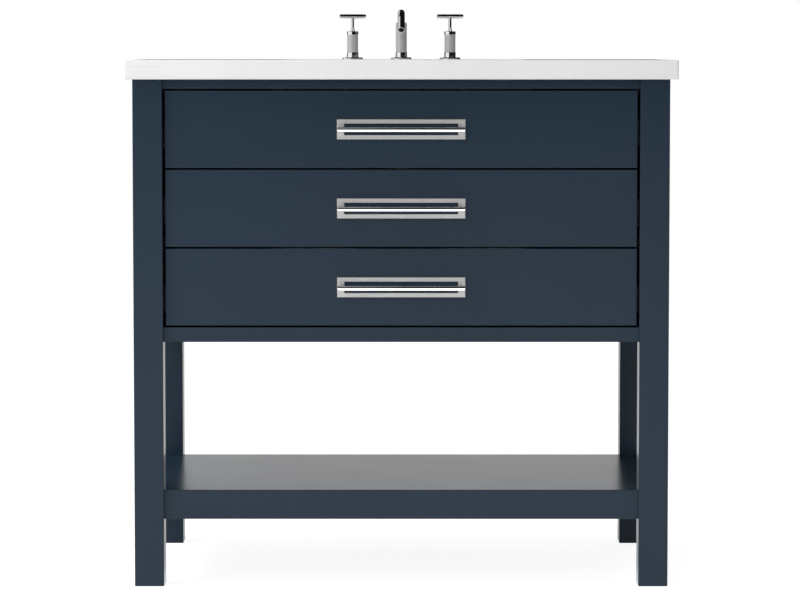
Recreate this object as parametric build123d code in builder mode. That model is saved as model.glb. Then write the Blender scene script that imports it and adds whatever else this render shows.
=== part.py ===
from build123d import *
import os

# Free-standing bathroom vanity cabinet: four legs, three slab drawers on ball-bearing slides, an open shelf
# near the floor, a stone counter with an undermount basin, and a three-piece faucet.
# Millimetres. +X is the right side, -Y the front, +Z up. The origin is on the floor, in the middle of the
# overall width and depth.

os.makedirs("parts", exist_ok=True)

# ---------------------------------------------------------------- cabinet
cabinet_width = 889.0
cabinet_height = 844.5
leg_width = 49.0
leg_depth = 50.0
leg_edge = 1.5  # rounding of the legs' long edges
foot_bevel = 1.0
board_edge = 0.8  # eased front edges of rails and panels
front_recess = 10.0  # rails and drawer fronts stand this far behind the leg fronts
side_recess = 10.0
back_recess = 8.0
side_thickness = 16.0
back_thickness = 12.0
floor_thickness = 12.0
top_rail_height = 15.5
bottom_rail_height = 24.5
back_rail_height = 60.0
corner_block_size = 70.0
corner_block_height = 25.0
cutout_width = 460.0  # plumbing cut-out in the back panel
cutout_height = 122.0
cutout_rise = 136.5  # from the cabinet's lower edge to the cut-out
cutout_corner = 30.0

# ---------------------------------------------------------------- open shelf
shelf_height = 161.0
shelf_thickness = 18.0
shelf_rail_height = 49.0
shelf_rail_thickness = 22.0
shelf_rear_lap = 10.0  # of the shelf panel on the rear rail

# ---------------------------------------------------------------- drawers
drawer_height = 128.0
drawer_gap = 3.0
drawer_side_gap = 4.0
front_thickness = 20.0
front_edge = 1.0
board_thickness = 12.0
bottom_thickness = 6.0
bottom_rise = 8.0  # from the side boards' lower edge to the bottom panel
groove_depth = 5.0
tail_pitch = 24.0  # of the dovetails at the box corners
tail_slope = 1 / 7
pin_width = 6.0  # between two tails, at the side board's end
tray_depth = 33.0  # clear depth of the top drawer in front of the basin's well
box_step_below = 12.0  # from a front's lower edge to its box
box_step_above = 26.0  # from a front's upper edge to its box
low_box_step_above = 54.0  # the lowest box is low, to leave room for a trap
trap_well_width = 160.0
trap_well_reach = 70.0  # from the drain's axis to the well's front wall

# ---------------------------------------------------------------- drawer slides
slide_width = 12.7
slide_height = 45.0
slide_sheet = 1.3
slide_play = 0.3
slide_front_gap = 14.0
slide_back_gap = 14.0
race_height = 3.9
race_inset = 2.2  # of the carrier from the cabinet member's back
member_lip = 7.7
carrier_shortfall = 10.0
cleat_height = 52.0

# ---------------------------------------------------------------- pulls
post_spacing = 197.0
post_diameter = 7.0
post_foot_diameter = 8.0
post_foot_height = 1.0
plate_height = 33.3
plate_thickness = 4.0
plate_bevel = 1.0
plate_overrun = 8.0  # past the posts' axes
slot_height = 19.3
pull_bar_overrun = 7.0  # past the posts' axes
pull_bar_diameter = 8.6
pull_bar_end = 0.8
pull_projection = 34.0

# ---------------------------------------------------------------- counter
counter_thickness = 31.75
counter_overhang = 13.0  # past the leg fronts
counter_side_overhang = 12.7
counter_edge = 2.0
counter_corner = 3.0

# ---------------------------------------------------------------- basin
bowl_length = 440.0
bowl_width = 310.0
bowl_depth = 130.0
bowl_corner = 56.0
bowl_lean = 11.0  # degrees that each wall leans in towards the floor
bowl_floor_round = 25.0
bowl_wall = 9.0
bowl_reveal = 3.0  # the counter stands this far over the bowl
rim_width = 22.0
rim_thickness = 12.0
well_clearance = 15.0  # between the basin and the top drawer

# ---------------------------------------------------------------- drain
drain_hole = 45.0
drain_flange = 62.0
drain_flange_thickness = 3.0
drain_seat_depth = 2.5
drain_body_diameter = 43.5
drain_bore = 36.0
drain_body_length = 52.0
drain_nut_diameter = 60.0
drain_nut_height = 9.0
tailpiece_diameter = 31.75
tailpiece_wall = 1.6
tailpiece_length = 50.0
tailpiece_lap = 12.0
stopper_diameter = 54.0
stopper_crown = 5.0
stopper_gap = 0.3
stopper_stem = 8.0
stem_clearance = 0.06
guide_height = 8.0
guide_diameter = 15.0
guide_arm_width = 4.0

# ---------------------------------------------------------------- faucet
faucet_setback = 75.0  # from the counter's back edge to the faucet's axes
faucet_spacing = 174.0  # between the handles
faucet_to_bowl = 50.0
counter_hole = 28.0
escutcheon_diameter = 37.0
escutcheon_thickness = 3.5
column_diameter = 19.6
collar_diameter = 20.4  # polished rings at foot and top
base_ring_height = 9.0
top_ring_height = 6.0
column_bore = 16.0
handle_column_height = 50.0
spout_column_height = 65.5
valve_body_diameter = 24.0
valve_body_length = 55.0  # below the counter's top
supply_end_diameter = 20.9
supply_end_length = 24.0
fit_clearance = 0.1
turn_gap = 0.25
cartridge_drop = 20.0  # depth of the spindle's bore
spindle_diameter = 8.0
spindle_clearance = 0.05
cone_height = 6.0
cone_diameter = 8.4
stem_diameter = 5.4
handle_bar_diameter = 7.6
handle_bar_length = 48.0
handle_bar_rise = 76.5
end_cap_length = 3.6
groove_width = 0.8
groove_step = 0.5
nut_washer_diameter = 42.0
nut_washer_thickness = 2.0
nut_across_flats = 35.0
nut_height = 9.0
tube_diameter = 12.5
tube_wall = 1.1
tube_seat = 9.0
heel_radius = 14.5
heel_turn = 65.0
crown_radius = 37.9
crown_turn = 70.0
nose_length = 27.0
aerator_recess = 1.5
aerator_length = 6.0
aerator_jet = 4.0

# ---------------------------------------------------------------- places
front_to_tray = front_recess + front_thickness + board_thickness
tray_to_bowl_back = board_thickness + well_clearance + bowl_wall + bowl_width
cabinet_depth = front_to_tray + tray_depth + tray_to_bowl_back + faucet_to_bowl + faucet_setback
overall_depth = cabinet_depth - front_recess + pull_projection
cabinet_back = overall_depth / 2
cabinet_front = cabinet_back - cabinet_depth
leg_inner = cabinet_width / 2 - leg_width
front_leg_back = cabinet_front + leg_depth
rear_leg_front = cabinet_back - leg_depth
side_outer = cabinet_width / 2 - side_recess
side_inner = side_outer - side_thickness
front_face = cabinet_front + front_recess
back_panel_back = cabinet_back - back_recess
back_panel_front = back_panel_back - back_thickness
counter_top = cabinet_height + counter_thickness
counter_width = cabinet_width + 2 * counter_side_overhang
counter_front = cabinet_front - counter_overhang
shank_bottom = counter_top - valve_body_length - supply_end_length

level_names = ("top", "middle", "bottom")
opening_top = cabinet_height - top_rail_height
opening_bottom = opening_top - len(level_names) * (drawer_height + drawer_gap) - drawer_gap
cabinet_bottom = opening_bottom - bottom_rail_height
front_half_width = leg_inner - drawer_side_gap
front_back = front_face + front_thickness
plate_length = post_spacing + 2 * plate_overrun
slot_length = post_spacing - post_foot_diameter
pull_bar_length = post_spacing + 2 * pull_bar_overrun

box_front = front_back
slide_front = front_back + slide_front_gap
slide_back = rear_leg_front - slide_back_gap
box_back = slide_back
box_half_width = leg_inner - slide_width
inner_half_width = box_half_width - board_thickness

faucet_y = cabinet_back - faucet_setback
bowl_back = faucet_y - faucet_to_bowl
bowl_y = bowl_back - bowl_width / 2
bowl_floor = cabinet_height - bowl_depth
bowl_outer_half_length = bowl_length / 2 + bowl_wall
bowl_outer_half_width = bowl_width / 2 + bowl_wall
basin_bottom = bowl_floor - bowl_wall
handle_places = ((-faucet_spacing / 2, faucet_y), (faucet_spacing / 2, faucet_y))
faucet_places = handle_places + ((0, faucet_y),)


def front_bottom(level):
    """Lower edge of a drawer front; level 0 is the top drawer."""
    return opening_top - (level + 1) * (drawer_height + drawer_gap)


def box_bottom(level):
    return front_bottom(level) + box_step_below


def box_top(level):
    lowest = level == len(level_names) - 1
    step = low_box_step_above if lowest else box_step_above
    return front_bottom(level) + drawer_height - step


def slide_height_at(level):
    """Height of a slide's middle: the side board's middle, or its foot where the box is low."""
    return box_bottom(level) + max(slide_height, box_top(level) - box_bottom(level)) / 2


def facing(y):
    """A plane that looks to the front, with local x along X and local y along Z, at depth y."""
    return Plane(origin=(0, y, 0), x_dir=(1, 0, 0), z_dir=(0, -1, 0))


def upright(place):
    """The XZ plane through a vertical axis, on which turned profiles are drawn as (radius, height)."""
    return Plane(origin=(place[0], place[1], 0), x_dir=(1, 0, 0), z_dir=(0, -1, 0))


def keep(piece, name):
    piece.part.label = name
    export_step(piece.part, f"parts/{name}.step")


def block(x, y, z):
    """A rectangular solid between pairs of limits, added to the piece being made."""
    with BuildSketch(Plane.XY.offset(z[0])) as outline:
        with Locations(((x[0] + x[1]) / 2, (y[0] + y[1]) / 2)):
            Rectangle(x[1] - x[0], y[1] - y[0])
    extrude(outline.sketch, amount=z[1] - z[0])


def turned(place, profile):
    """A turned solid on a vertical axis, from (radius, height) points, added to the piece being made."""
    with BuildSketch(upright(place)) as outline:
        with BuildLine():
            Polyline(*profile, close=True)
        make_face()
    revolve(outline.sketch, axis=Axis((place[0], place[1], 0), (0, 0, 1)))


def both_sides(limits):
    """The limits on the right side and their mirror image on the left."""
    return (limits, (-limits[1], -limits[0]))


# ================================================================ cabinet
def make_leg(x, y):
    with BuildPart() as leg:
        with BuildSketch():
            with Locations((x, y)):
                RectangleRounded(leg_width, leg_depth, leg_edge)
        extrude(amount=cabinet_height)
        chamfer(leg.faces().sort_by(Axis.Z)[0].edges(), foot_bevel)
    return leg


def make_front_rail(z, name):
    """A rail between the front legs, flush with their backs, with eased front edges."""
    with BuildPart() as rail:
        block((-leg_inner, leg_inner), (front_face, front_leg_back), z)
        front = rail.faces().sort_by(Axis.Y)[0]
        fillet(front.edges().filter_by(Axis.X), board_edge)
    keep(rail, name)


def make_legs():
    x = cabinet_width / 2 - leg_width / 2
    y = {"front": cabinet_front + leg_depth / 2, "rear": cabinet_back - leg_depth / 2}
    for end in ("front", "rear"):
        for side, sign in (("left", -1), ("right", 1)):
            keep(make_leg(sign * x, y[end]), f"leg_{end}_{side}")


def make_side_panels():
    with BuildPart() as panels:
        for x in both_sides((side_inner, side_outer)):
            block(x, (front_leg_back, rear_leg_front), (cabinet_bottom, cabinet_height))
    keep(panels, "side_panels")


def make_back_panel():
    height = cabinet_height - cabinet_bottom
    with BuildPart() as panel:
        with BuildSketch(facing(back_panel_back)):
            with Locations((0, cabinet_bottom + height / 2)):
                Rectangle(2 * leg_inner, height)
            with Locations((0, cabinet_bottom + cutout_rise + cutout_height / 2)):
                RectangleRounded(cutout_width, cutout_height, cutout_corner, mode=Mode.SUBTRACT)
        extrude(amount=back_thickness)
    keep(panel, "back_panel")


def make_back_rail():
    with BuildPart() as rail:
        z = (cabinet_height - back_rail_height, cabinet_height)
        block((-leg_inner, leg_inner), (rear_leg_front, back_panel_front), z)
    keep(rail, "rail_back_top")


def make_cabinet_floor():
    z = (cabinet_bottom, cabinet_bottom + floor_thickness)
    with BuildPart() as floor:
        block((-side_inner, side_inner), (front_leg_back, rear_leg_front), z)
        block((-leg_inner, leg_inner), (rear_leg_front, back_panel_front), z)
    keep(floor, "cabinet_floor")


def make_corner_blocks():
    with BuildPart() as blocks:
        with BuildSketch(Plane.XY.offset(cabinet_height - corner_block_height)):
            for side in (-1, 1):
                for y, towards in ((front_leg_back, 1), (rear_leg_front, -1)):
                    corner = (side * side_inner, y)
                    along = (side * (side_inner - corner_block_size), y)
                    across = (side * side_inner, y + towards * corner_block_size)
                    with BuildLine():
                        Polyline(corner, along, across, close=True)
                    make_face()
        extrude(amount=corner_block_height)
    keep(blocks, "corner_blocks")


def make_slide_cleats():
    """Packing between the side panels and the slides, flush with the legs' inner faces."""
    with BuildPart() as cleats:
        for level in range(len(level_names)):
            middle = slide_height_at(level)
            z = (middle - cleat_height / 2, middle + cleat_height / 2)
            for x in both_sides((leg_inner, side_inner)):
                block(x, (front_leg_back, rear_leg_front), z)
    keep(cleats, "slide_cleats")


# ================================================================ open shelf
def make_shelf():
    rail_bottom = shelf_height - shelf_rail_height
    panel_bottom = shelf_height - shelf_thickness
    side_rail_inner = side_outer - shelf_rail_thickness
    front_rail_back = front_face + shelf_rail_thickness

    with BuildPart() as panel:
        z = (panel_bottom, shelf_height)
        block((-leg_inner, leg_inner), (front_rail_back, rear_leg_front + shelf_rear_lap), z)
        block((-side_rail_inner, side_rail_inner), (front_leg_back, rear_leg_front), z)
    keep(panel, "shelf_panel")

    with BuildPart() as front_rail:
        block((-leg_inner, leg_inner), (front_face, front_rail_back), (rail_bottom, shelf_height))
        front = front_rail.faces().sort_by(Axis.Y)[0]
        fillet(front.edges().filter_by(Axis.X), board_edge)
    keep(front_rail, "shelf_rail_front")

    with BuildPart() as rear_rail:
        y = (rear_leg_front, rear_leg_front + shelf_rail_thickness)
        block((-leg_inner, leg_inner), y, (rail_bottom, panel_bottom))
    keep(rear_rail, "shelf_rail_rear")

    with BuildPart() as side_rails:
        for x in both_sides((side_rail_inner, side_outer)):
            block(x, (front_leg_back, rear_leg_front), (rail_bottom, shelf_height))
    keep(side_rails, "shelf_rails_side")


# ================================================================ drawer slides
def channel(middle, web, edge, half_height, sheet, lip):
    """Section of a channel for the right side: depths are measured inwards from the leg's inner face."""
    inside = web + sheet if edge > web else web - sheet
    depths_and_heights = (
        (web, -half_height),
        (edge, -half_height),
        (edge, lip - half_height),
        (inside, lip - half_height),
        (inside, half_height - lip),
        (edge, half_height - lip),
        (edge, half_height),
        (web, half_height),
    )
    return [(leg_inner - depth, middle + height) for depth, height in depths_and_heights]


def slide_pair(sections, front, back):
    """The right-hand channels and their mirror images, added to the piece being made."""
    with BuildSketch(facing(back)) as outline:
        for section in sections:
            for side in (1, -1):
                with BuildLine():
                    Polyline(*[(side * x, z) for x, z in section], close=True)
                make_face()
    extrude(outline.sketch, amount=back - front)


track_half = slide_height / 2
carrier_half = track_half - slide_sheet - slide_play
member_half = carrier_half - race_height - slide_play
track_depth = race_inset + member_lip


def make_slide_tracks():
    with BuildPart() as tracks:
        sections = [
            channel(slide_height_at(level), 0, track_depth, track_half, slide_sheet, slide_sheet)
            for level in range(len(level_names))
        ]
        slide_pair(sections, slide_front, slide_back)
    keep(tracks, "slide_tracks")


def make_slide_carriers(name, level):
    with BuildPart() as carriers:
        section = channel(
            slide_height_at(level), race_inset, track_depth, carrier_half, slide_sheet, race_height
        )
        slide_pair([section], slide_front, slide_back - carrier_shortfall)
    keep(carriers, f"drawer_{name}_slide_carriers")


def make_slide_members(name, level):
    with BuildPart() as members:
        edge = slide_width - member_lip
        section = channel(slide_height_at(level), slide_width, edge, member_half, slide_sheet, slide_sheet)
        slide_pair([section], slide_front, slide_back)
    keep(members, f"drawer_{name}_slide_members")


# ================================================================ drawers
def make_drawer_front(name, level):
    z = (front_bottom(level), front_bottom(level) + drawer_height)
    with BuildPart() as front:
        block((-front_half_width, front_half_width), (front_face, front_back), z)
        fillet(front.faces().sort_by(Axis.Y)[0].edges(), front_edge)
    keep(front, f"drawer_{name}_front")


def corner_pins(low, high, end, inside):
    """Outlines in (y, z) of the pins between the dovetails of a corner, with half a pin at each edge: narrow
    at the side board's end, wider inside."""
    tails = max(1, round((high - low) / tail_pitch))
    narrow = pin_width / 2
    wide = narrow + board_thickness * tail_slope
    corners = ((end, -narrow), (end, narrow), (inside, wide), (inside, -wide))
    outlines = []
    for i in range(tails + 1):
        middle = low + i * (high - low) / tails
        outlines.append([(y, min(max(middle + height, low), high)) for y, height in corners])
    return outlines


def corner_joints(level, mode):
    """The pins of a drawer box's four corners, added to the piece being made or cut out of it."""
    low, high = box_bottom(level), box_top(level)
    bottom_top = low + bottom_rise + bottom_thickness
    pins = corner_pins(low, high, box_front, box_front + board_thickness)
    pins += corner_pins(bottom_top, high, box_back, box_back - board_thickness)
    for x in both_sides((inner_half_width, box_half_width)):
        with BuildSketch(Plane.YZ.offset(x[0])) as outline:
            for corners in pins:
                with BuildLine():
                    Polyline(*corners, close=True)
                make_face()
        extrude(outline.sketch, amount=x[1] - x[0], mode=mode)


def make_box_sides(name, level):
    """Two side boards, dovetailed at their ends, each with a groove for the bottom panel."""
    low, high = box_bottom(level), box_top(level)
    groove = (low + bottom_rise, low + bottom_rise + bottom_thickness)
    with BuildPart() as sides:
        with BuildSketch(facing(box_back)):
            for side in (-1, 1):
                with Locations((side * (box_half_width - board_thickness / 2), (low + high) / 2)):
                    Rectangle(board_thickness, high - low)
                with Locations((side * (inner_half_width + groove_depth / 2), sum(groove) / 2)):
                    Rectangle(groove_depth, bottom_thickness, mode=Mode.SUBTRACT)
        extrude(amount=box_back - box_front)
        corner_joints(level, Mode.SUBTRACT)
    keep(sides, f"drawer_{name}_box_sides")


def make_box_ends(name, level, well_half):
    """The inner front, grooved for the bottom panel, and the back, which stands on the bottom panel and is
    left out between the walls of a well."""
    low, high = box_bottom(level), box_top(level)
    bottom_top = low + bottom_rise + bottom_thickness
    groove_front = box_front + board_thickness - groove_depth
    with BuildPart() as ends:
        block((-inner_half_width, inner_half_width), (box_front, box_front + board_thickness), (low, high))
        back = (box_back - board_thickness, box_back)
        if well_half:
            for x in both_sides((well_half + board_thickness, inner_half_width)):
                block(x, back, (bottom_top, high))
        else:
            block((-inner_half_width, inner_half_width), back, (bottom_top, high))
        corner_joints(level, Mode.ADD)
        with BuildSketch(Plane.XY.offset(low + bottom_rise)) as groove:
            with Locations((0, groove_front + groove_depth / 2)):
                Rectangle(2 * (inner_half_width + groove_depth), groove_depth)
        extrude(groove.sketch, amount=bottom_thickness, mode=Mode.SUBTRACT)
    keep(ends, f"drawer_{name}_box_ends")


def make_box_bottom(name, level, well_half, well_front):
    half_width = inner_half_width + groove_depth
    front = box_front + board_thickness - groove_depth
    with BuildPart() as bottom:
        with BuildSketch(Plane.XY.offset(box_bottom(level) + bottom_rise)):
            with Locations((0, (front + box_back) / 2)):
                Rectangle(2 * half_width, box_back - front)
            if well_half:
                with Locations((0, (well_front + box_back) / 2)):
                    Rectangle(2 * well_half, box_back - well_front, mode=Mode.SUBTRACT)
        extrude(amount=bottom_thickness)
    keep(bottom, f"drawer_{name}_bottom")


def make_well(name, level, well_half, well_front):
    """The U-shaped wall that keeps the drawer's contents away from the basin or the trap."""
    bottom_top = box_bottom(level) + bottom_rise + bottom_thickness
    outer_half = well_half + board_thickness
    outer_front = well_front - board_thickness
    with BuildPart() as well:
        with BuildSketch(Plane.XY.offset(bottom_top)):
            with Locations((0, (outer_front + box_back) / 2)):
                Rectangle(2 * outer_half, box_back - outer_front)
            with Locations((0, (well_front + box_back) / 2)):
                Rectangle(2 * well_half, box_back - well_front, mode=Mode.SUBTRACT)
        extrude(amount=box_top(level) - bottom_top)
    keep(well, f"drawer_{name}_well")


def make_pull(name, level):
    height = front_bottom(level) + drawer_height / 2
    plate_front = front_face - plate_thickness
    bar_y = front_face - pull_projection + pull_bar_diameter / 2

    with BuildPart() as plate:
        with BuildSketch(facing(front_face)):
            with Locations((0, height)):
                Rectangle(plate_length, plate_height)
                Rectangle(slot_length, slot_height, mode=Mode.SUBTRACT)
        extrude(amount=plate_thickness)
        rim = plate.faces().sort_by(Axis.Y)[0].outer_wire()
        chamfer(rim.edges(), plate_bevel)
    keep(plate, f"drawer_{name}_pull_plate")

    with BuildPart() as bar:
        with BuildSketch(Plane(origin=(-pull_bar_length / 2, bar_y, height), z_dir=(1, 0, 0))):
            Circle(pull_bar_diameter / 2)
        extrude(amount=pull_bar_length)
        chamfer(bar.edges(), pull_bar_end)
        with BuildSketch(facing(plate_front)):
            with Locations((-post_spacing / 2, height), (post_spacing / 2, height)):
                Circle(post_diameter / 2)
        extrude(amount=plate_front - bar_y)
        with BuildSketch(facing(plate_front)):
            with Locations((-post_spacing / 2, height), (post_spacing / 2, height)):
                Circle(post_foot_diameter / 2)
        extrude(amount=post_foot_height, taper=30)
    keep(bar, f"drawer_{name}_pull_bar")


def make_drawer(name, level, well_half=0, well_front=0):
    make_drawer_front(name, level)
    make_box_sides(name, level)
    make_box_ends(name, level, well_half)
    make_box_bottom(name, level, well_half, well_front)
    if well_half:
        make_well(name, level, well_half, well_front)
    make_slide_members(name, level)
    make_slide_carriers(name, level)
    make_pull(name, level)


# ================================================================ counter and basin
def make_countertop():
    y = (counter_front + cabinet_back) / 2
    with BuildPart() as counter:
        with BuildSketch(Plane.XY.offset(cabinet_height)):
            with Locations((0, y)):
                RectangleRounded(counter_width, cabinet_back - counter_front, counter_corner)
            with Locations((0, bowl_y)):
                opening = (bowl_length - 2 * bowl_reveal, bowl_width - 2 * bowl_reveal)
                RectangleRounded(*opening, bowl_corner - bowl_reveal, mode=Mode.SUBTRACT)
            with Locations(*faucet_places):
                Circle(counter_hole / 2, mode=Mode.SUBTRACT)
        extrude(amount=counter_thickness)
        top, underside = counter.faces().sort_by(Axis.Z)[-1], counter.faces().sort_by(Axis.Z)[0]
        basin_edge = top.inner_wires().sort_by(lambda wire: wire.length)[-1]
        fillet(top.outer_wire().edges() + underside.outer_wire().edges() + basin_edge.edges(), counter_edge)
    keep(counter, "countertop")


def make_bowl_form(wall):
    """The bowl's space, or with a wall its outside: a rounded rectangle with leaning sides and a round floor
    edge."""
    with BuildPart() as form:
        with BuildSketch(Plane.XY.offset(cabinet_height)):
            with Locations((0, bowl_y)):
                RectangleRounded(bowl_length + 2 * wall, bowl_width + 2 * wall, bowl_corner + wall)
        extrude(amount=-(bowl_depth + wall), taper=bowl_lean)
        fillet(form.faces().sort_by(Axis.Z)[0].edges(), bowl_floor_round + wall)
    return form.part


def make_basin():
    bowl_space = make_bowl_form(0)
    bowl_outside = make_bowl_form(bowl_wall)
    with BuildPart() as basin:
        with BuildSketch(Plane.XY.offset(cabinet_height - rim_thickness)):
            with Locations((0, bowl_y)):
                rim = (bowl_length + 2 * rim_width, bowl_width + 2 * rim_width)
                RectangleRounded(*rim, bowl_corner + rim_width)
        extrude(amount=rim_thickness)
        add(bowl_outside)
        add(bowl_space, mode=Mode.SUBTRACT)
        with Locations((0, bowl_y, bowl_floor)):
            CounterBoreHole(drain_hole / 2, drain_flange / 2 + fit_clearance, drain_seat_depth)
    keep(basin, "sink_basin")


def make_drain():
    place = (0, bowl_y)
    seat = bowl_floor - drain_seat_depth
    flange_top = seat + drain_flange_thickness
    body_radius = drain_body_diameter / 2
    bore_radius = drain_bore / 2
    body_bottom = flange_top - drain_body_length
    guide_bottom = seat - 2 * guide_height

    with BuildPart() as body:
        profile = (
            (bore_radius, body_bottom),
            (body_radius, body_bottom),
            (body_radius, seat),
            (drain_flange / 2, seat),
            (drain_flange / 2, seat + drain_flange_thickness / 2),
            (drain_flange / 2 - drain_flange_thickness / 2, flange_top),
            (bore_radius + drain_flange_thickness, flange_top),
            (bore_radius, flange_top - drain_flange_thickness),
        )
        turned(place, profile)
        with BuildSketch(Plane.XY.offset(guide_bottom)):
            with Locations((0, bowl_y)):
                Rectangle(drain_bore + slide_sheet, guide_arm_width)
                Rectangle(guide_arm_width, drain_bore + slide_sheet)
                Circle(guide_diameter / 2)
                Circle(stopper_stem / 2 + stem_clearance, mode=Mode.SUBTRACT)
        extrude(amount=guide_height)
    keep(body, "drain_body")

    with BuildPart() as tailpiece:
        outer = tailpiece_diameter / 2
        top = body_bottom + tailpiece_lap
        collar = bore_radius - fit_clearance
        foot = body_bottom - tailpiece_length
        profile = (
            (outer - tailpiece_wall, foot),
            (outer, foot),
            (outer, body_bottom),
            (collar, body_bottom),
            (collar, top),
            (outer - tailpiece_wall, top),
        )
        turned(place, profile)
    keep(tailpiece, "drain_tailpiece")

    with BuildPart() as stopper:
        seal = flange_top + stopper_gap
        cap_radius = stopper_diameter / 2
        stem_radius = stopper_stem / 2
        crown_rise = stopper_crown / 2
        crown_start = seal + stopper_crown - crown_rise
        crown_radius = (cap_radius**2 + crown_rise**2) / (2 * crown_rise)
        with BuildSketch(upright(place)) as outline:
            with BuildLine():
                RadiusArc((0, seal + stopper_crown), (cap_radius, crown_start), crown_radius)
                Polyline(
                    (cap_radius, crown_start),
                    (cap_radius, seal),
                    (stem_radius, seal),
                    (stem_radius, guide_bottom),
                    (0, guide_bottom),
                    (0, seal + stopper_crown),
                )
            make_face()
        revolve(outline.sketch, axis=Axis((place[0], place[1], 0), (0, 0, 1)))
    keep(stopper, "drain_stopper")


# ================================================================ faucet
def make_escutcheons():
    bore = valve_body_diameter / 2 + fit_clearance
    outer = escutcheon_diameter / 2
    bevel = escutcheon_thickness / 2
    with BuildPart() as escutcheons:
        for place in faucet_places:
            profile = (
                (bore, counter_top),
                (outer, counter_top),
                (outer, counter_top + bevel),
                (outer - bevel, counter_top + escutcheon_thickness),
                (bore, counter_top + escutcheon_thickness),
            )
            turned(place, profile)
    keep(escutcheons, "faucet_escutcheons")


def make_base_rings():
    low = counter_top + escutcheon_thickness
    high = low + base_ring_height
    outer = collar_diameter / 2
    neck = column_diameter / 2
    with BuildPart() as rings:
        for place in faucet_places:
            profile = (
                (column_bore / 2, low),
                (outer, low),
                (outer, high - (outer - neck)),
                (neck, high),
                (column_bore / 2, high),
            )
            turned(place, profile)
    keep(rings, "faucet_base_rings")


def make_handle_sleeves():
    low = counter_top + escutcheon_thickness + base_ring_height
    high = counter_top + handle_column_height - top_ring_height
    with BuildPart() as sleeves:
        for place in handle_places:
            inner, outer = column_bore / 2, column_diameter / 2
            turned(place, ((inner, low), (outer, low), (outer, high), (inner, high)))
    keep(sleeves, "handle_sleeves")


def make_shanks():
    """Threaded bodies through the counter, with narrower ends for the supply lines below and the valve
    cartridges or the spout's core above."""
    step = shank_bottom + supply_end_length
    shoulder = counter_top + escutcheon_thickness
    top = counter_top + handle_column_height - top_ring_height
    core = column_bore / 2 - fit_clearance
    outside = (
        (0, shank_bottom),
        (supply_end_diameter / 2, shank_bottom),
        (supply_end_diameter / 2, step),
        (valve_body_diameter / 2, step),
        (valve_body_diameter / 2, shoulder),
        (core, shoulder),
        (core, top),
    )
    bore = spindle_diameter / 2 + spindle_clearance
    spindle_seat = ((bore, top), (bore, top - cartridge_drop), (0, top - cartridge_drop))
    with BuildPart() as shanks:
        for place in handle_places:
            turned(place, outside + spindle_seat)
        turned((0, faucet_y), outside + ((0, top),))
    keep(shanks, "faucet_shanks")


def make_mounting_nuts():
    """Washers and hexagon nuts under the counter, and the round nut under the basin."""
    bore = valve_body_diameter / 2 + fit_clearance
    washer_bottom = cabinet_height - nut_washer_thickness
    with BuildPart() as nuts:
        with BuildSketch(Plane.XY.offset(washer_bottom)):
            with Locations(*faucet_places):
                Circle(nut_washer_diameter / 2)
                Circle(bore, mode=Mode.SUBTRACT)
        extrude(amount=nut_washer_thickness)
        with BuildSketch(Plane.XY.offset(washer_bottom - nut_height)):
            with Locations(*faucet_places):
                RegularPolygon(nut_across_flats / 2, 6, major_radius=False)
                Circle(bore, mode=Mode.SUBTRACT)
        extrude(amount=nut_height)
        with BuildSketch(Plane.XY.offset(basin_bottom - drain_nut_height)):
            with Locations((0, bowl_y)):
                Circle(drain_nut_diameter / 2)
                Circle(drain_body_diameter / 2 + fit_clearance, mode=Mode.SUBTRACT)
        extrude(amount=drain_nut_height)
    keep(nuts, "mounting_nuts")


def make_handle(name, place):
    """The part that turns: top ring, cone and stem in one, and the T-bar that the stem carries."""
    low = counter_top + handle_column_height - top_ring_height + turn_gap
    high = counter_top + handle_column_height
    bar_height = counter_top + handle_bar_rise
    ring = collar_diameter / 2
    spindle = spindle_diameter / 2
    stem = stem_diameter / 2
    with BuildPart() as hub:
        profile = (
            (0, low - cartridge_drop + turn_gap),
            (spindle, low - cartridge_drop + turn_gap),
            (spindle, low),
            (ring, low),
            (ring, high - groove_width),
            (ring - groove_width, high),
            (cone_diameter / 2, high),
            (stem, high + cone_height),
            (stem, bar_height),
            (0, bar_height),
        )
        turned(place, profile)
    keep(hub, f"{name}_handle_hub")

    with BuildPart() as bar:
        radius = handle_bar_diameter / 2
        half = handle_bar_length / 2
        groove_end = half - end_cap_length
        groove_start = groove_end - groove_width
        tip = radius / 3
        half_profile = (
            (0, radius),
            (groove_start, radius),
            (groove_start, radius - groove_step),
            (groove_end, radius - groove_step),
            (groove_end, radius),
            (half - tip, radius),
            (half, radius - tip),
            (half, 0),
        )
        other_half = [(-x, r) for x, r in reversed(half_profile)]
        axis_start = (place[0], place[1], bar_height)
        with BuildSketch(Plane(origin=axis_start, x_dir=(1, 0, 0), z_dir=(0, -1, 0))):
            with BuildLine():
                Polyline(*other_half[:-1], *half_profile, close=True)
            make_face()
        revolve(axis=Axis(axis_start, (1, 0, 0)))
        with BuildSketch(Plane(origin=(place[0], place[1], bar_height - radius))):
            Circle(stem + fit_clearance)
        extrude(amount=radius, mode=Mode.SUBTRACT)
    keep(bar, f"{name}_handle_bar")


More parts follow.
